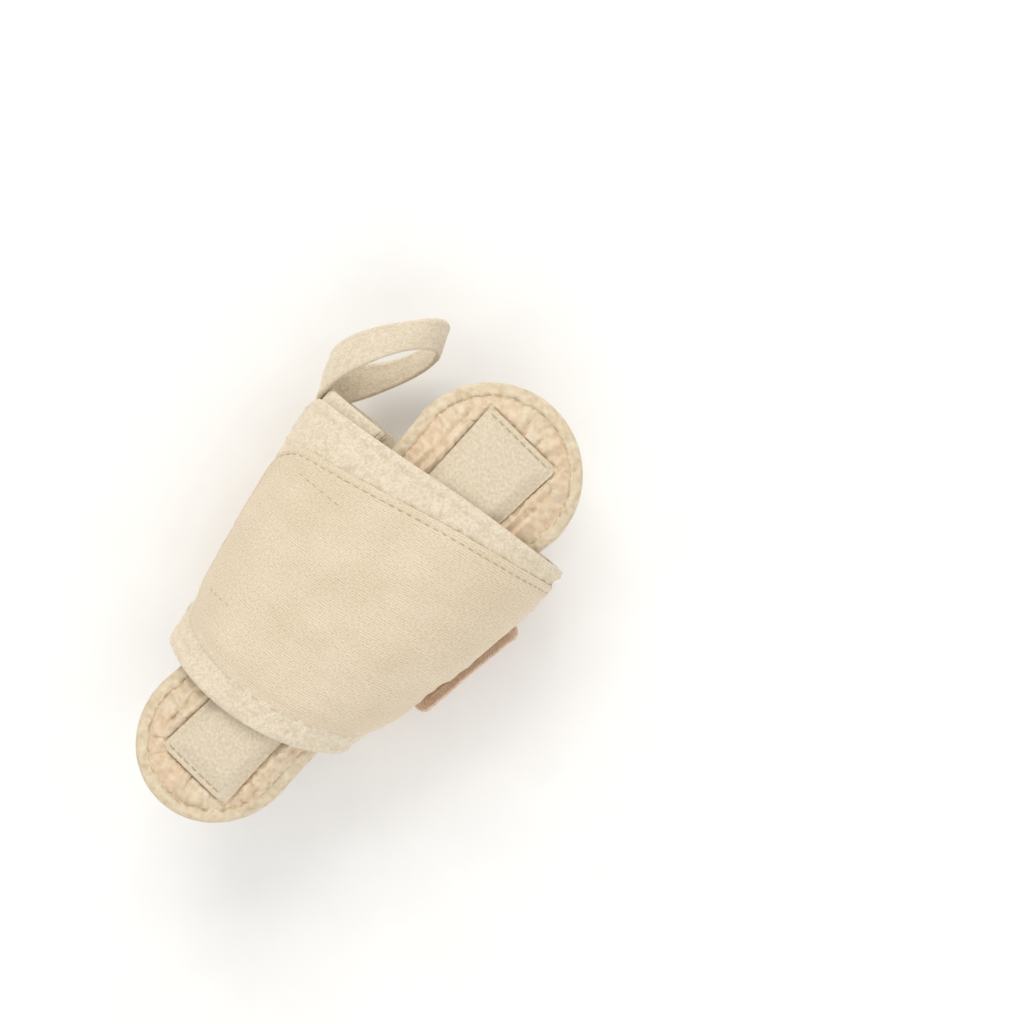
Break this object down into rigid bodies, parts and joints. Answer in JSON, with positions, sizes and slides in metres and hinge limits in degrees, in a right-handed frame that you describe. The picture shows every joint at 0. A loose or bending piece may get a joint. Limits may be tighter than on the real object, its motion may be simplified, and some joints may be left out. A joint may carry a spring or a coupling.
{
  "type": "wrist splint",
  "caption": "Soft left-hand wrist splint: a padded palmar stay in a sewn pocket, a wide closing flap, a dorsal strap with a peel-off tab and an elastic thumb loop.",
  "frame": {"origin": "on the flat dorsal face that the splint rests on, under the middle of the palmar pad", "axes": "+Y from the forearm to the fingers, +X to the little-finger side, +Z out of the palm"},
  "size_m": [0.106, 0.1732, 0.0589],
  "materials": {
    "knit": "fine ribbed elastic knit",
    "towelling": "looped nylon towelling that hook tape grips",
    "lining": "smooth brushed tricot lining",
    "pad_cloth": "soft peach-beige loop cloth",
    "edge_tape": "folded cloth edge tape",
    "foam": "open-cell polyurethane foam",
    "elastic": "soft ribbed elastic band",
    "hook_tape": "moulded nylon hooks on woven tape",
    "strap_cloth": "woven pinkish-brown strap",
    "stay_metal": "annealed and sanded",
    "cap_plastic": "dipped vinyl"
  },
  "bodies": {
    "wrap": {"base_wrap": "knit", "wrap_lining": "lining", "distal_binding": "towelling", "proximal_binding": "towelling", "radial_loop_patch": "towelling", "ulnar_loop_patch": "towelling", "dorsal_strap": "strap_cloth", "flap_anchor_strip": "knit", "pad_side_strip": "knit", "pad_lining": "lining", "pad_foam": "foam", "pad_face": "pad_cloth", "pad_edge_binding": "edge_tape", "palmar_stay": "stay_metal", "stay_distal_cap": "cap_plastic", "stay_proximal_cap": "cap_plastic", "stay_pocket": "pad_cloth"},
    "flap": {"flap_lining": "lining", "flap_backing": "towelling", "flap_panel": "knit", "flap_hook_patch": "hook_tape"},
    "strap_tab": {"strap_tab": "strap_cloth", "tab_hook_patch": "hook_tape"},
    "thumb_loop": {"thumb_loop_band": "elastic"}
  },
  "joints": [
    {"name": "flap_open", "type": "hinge", "parent": "wrap", "child": "flap", "pos_m": [0.0353, 0, 0.0342], "axis": [0.1104, 0.9932, 0.0362], "range_deg": [0, 140]},
    {"name": "strap_tab_peel", "type": "hinge", "parent": "wrap", "child": "strap_tab", "pos_m": [0.01981, 0.0085, 0.00292], "axis": [-0.022, 0.9991, -0.0357], "range_deg": [0, 24]},
    {"name": "thumb_loop_swing", "type": "hinge", "parent": "wrap", "child": "thumb_loop", "pos_m": [-0.058, 0.0435, 0.0255], "axis": [0, 0, 1], "range_deg": [-5, 25], "stiffness_Nm_per_rad": 0.002}
  ]
}
